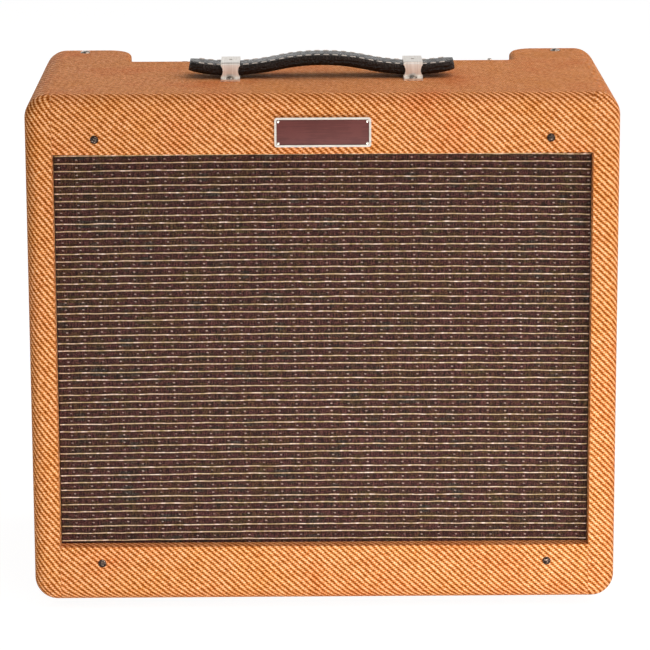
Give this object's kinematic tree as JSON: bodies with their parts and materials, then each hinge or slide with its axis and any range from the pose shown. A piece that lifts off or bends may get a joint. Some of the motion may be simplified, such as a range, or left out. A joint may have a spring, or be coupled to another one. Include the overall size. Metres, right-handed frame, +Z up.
{
  "type": "guitar amplifier",
  "caption": "Valve guitar combo: tweed-covered pine cabinet, one large speaker behind a grille cloth, top handle, recessed control panel, open back.",
  "frame": {"origin": "on the floor under the middle of the cabinet", "axes": "+X to the right seen from the front, +Y to the rear, +Z up"},
  "size_m": [0.457, 0.2405, 0.4252],
  "materials": {
    "aluminium_shaft": "turned aluminium",
    "basket_paint": "black painted pressed steel",
    "birch_ply": "plywood painted dark",
    "black_plastic": "black moulded plastic",
    "black_steel": "black painted steel",
    "button_plastic": "black moulded plastic",
    "ceramic": "white ceramic",
    "chrome_panel": "polished chrome",
    "circuit_board": "green solder resist on glass fibre",
    "cone_paper": "pressed dark paper",
    "dark_screws": "oxidised steel",
    "grille_cloth": "dark red-brown woven cloth with gold lines",
    "jewel": "red faceted jewel",
    "knob_plastic": "black moulded plastic",
    "leather": "glossy black stitched leather",
    "magnet": "ceramic magnet between plated irons",
    "nameplate": "bright rim round an enamelled field",
    "nickel": "bright nickel",
    "pine": "raw knotty pine",
    "rubber": "black rubber",
    "spider_cloth": "resin-treated cloth",
    "surround_cloth": "doped cloth",
    "tweed": "lacquered diagonal tweed cloth",
    "valve_glass": "clear glass",
    "zinc": "zinc plated steel"
  },
  "bodies": {
    "cabinet": {"back_cleats": "pine", "back_panel_screws": "nickel", "baffle_board": "birch_ply", "baffle_screws": "dark_screws", "bottom_board": "pine", "chassis": "zinc", "chassis_screws": "nickel", "circuit_board": "circuit_board", "control_panel": "chrome_panel", "fat_switch": "black_plastic", "foot_screws": "zinc", "front_rail_lower": "pine", "front_rail_upper": "pine", "fuse_holder": "black_plastic", "grille_cloth": "grille_cloth", "handle_clips": "nickel", "handle_screws": "nickel", "handle_strap": "leather", "input_jack": "black_plastic", "lower_back_panel": "tweed", "mains_inlet": "black_plastic", "nameplate": "nameplate", "output_transformer": "black_steel", "panel_nuts": "nickel", "pilot_bezel": "chrome_panel", "pilot_jewel": "jewel", "potentiometers": "zinc", "power_switch": "nickel", "power_transformer": "black_steel", "power_valves": "valve_glass", "preamp_valves": "valve_glass", "rear_jacks": "black_plastic", "reverb_tank": "zinc", "rubber_feet": "rubber", "side_board_left": "pine", "side_board_right": "pine", "speaker_basket": "basket_paint", "speaker_magnet": "magnet", "speaker_screws": "zinc", "speaker_spider": "spider_cloth", "speaker_surround": "surround_cloth", "top_board": "pine", "tweed_covering": "tweed", "upper_back_panel": "tweed", "valve_sockets": "ceramic"},
    "volume_control": {"knob_volume": "knob_plastic", "shaft_volume": "aluminium_shaft"},
    "treble_control": {"knob_treble": "knob_plastic", "shaft_treble": "aluminium_shaft"},
    "bass_control": {"knob_bass": "knob_plastic", "shaft_bass": "aluminium_shaft"},
    "middle_control": {"knob_middle": "knob_plastic", "shaft_middle": "aluminium_shaft"},
    "master_control": {"knob_master": "knob_plastic", "shaft_master": "aluminium_shaft"},
    "reverb_control": {"knob_reverb": "knob_plastic", "shaft_reverb": "aluminium_shaft"},
    "fat_button": {"fat_button": "button_plastic"},
    "power_toggle": {"power_toggle": "nickel"},
    "speaker_cone": {"speaker_cone": "cone_paper"}
  },
  "joints": [
    {"name": "volume_turn", "type": "hinge", "parent": "cabinet", "child": "volume_control", "pos_m": [-0.11193, 0.091, 0.3875], "axis": [0, 0, 1], "range_deg": [-150, 150]},
    {"name": "treble_turn", "type": "hinge", "parent": "cabinet", "child": "treble_control", "pos_m": [-0.0492, 0.091, 0.3875], "axis": [0, 0, 1], "range_deg": [-150, 150]},
    {"name": "bass_turn", "type": "hinge", "parent": "cabinet", "child": "bass_control", "pos_m": [-0.01783, 0.091, 0.3875], "axis": [0, 0, 1], "range_deg": [-150, 150]},
    {"name": "middle_turn", "type": "hinge", "parent": "cabinet", "child": "middle_control", "pos_m": [0.01353, 0.091, 0.3875], "axis": [0, 0, 1], "range_deg": [-150, 150]},
    {"name": "master_turn", "type": "hinge", "parent": "cabinet", "child": "master_control", "pos_m": [0.0449, 0.091, 0.3875], "axis": [0, 0, 1], "range_deg": [-150, 150]},
    {"name": "reverb_turn", "type": "hinge", "parent": "cabinet", "child": "reverb_control", "pos_m": [0.07627, 0.091, 0.3875], "axis": [0, 0, 1], "range_deg": [-150, 150]},
    {"name": "fat_push", "type": "slide", "parent": "cabinet", "child": "fat_button", "axis": [0, 0, 1], "range_m": [-0.0025, 0], "stiffness_N_per_m": 400},
    {"name": "power_flip", "type": "hinge", "parent": "cabinet", "child": "power_toggle", "pos_m": [0.139, 0.091, 0.3865], "axis": [1, 0, 0], "range_deg": [-24, 0]},
    {"name": "cone_travel", "type": "slide", "parent": "cabinet", "child": "speaker_cone", "axis": [0, -0.9976, 0.0698], "range_m": [-0.003, 0.003], "stiffness_N_per_m": 3000, "deforming": ["speaker_surround", "speaker_spider"]}
  ]
}
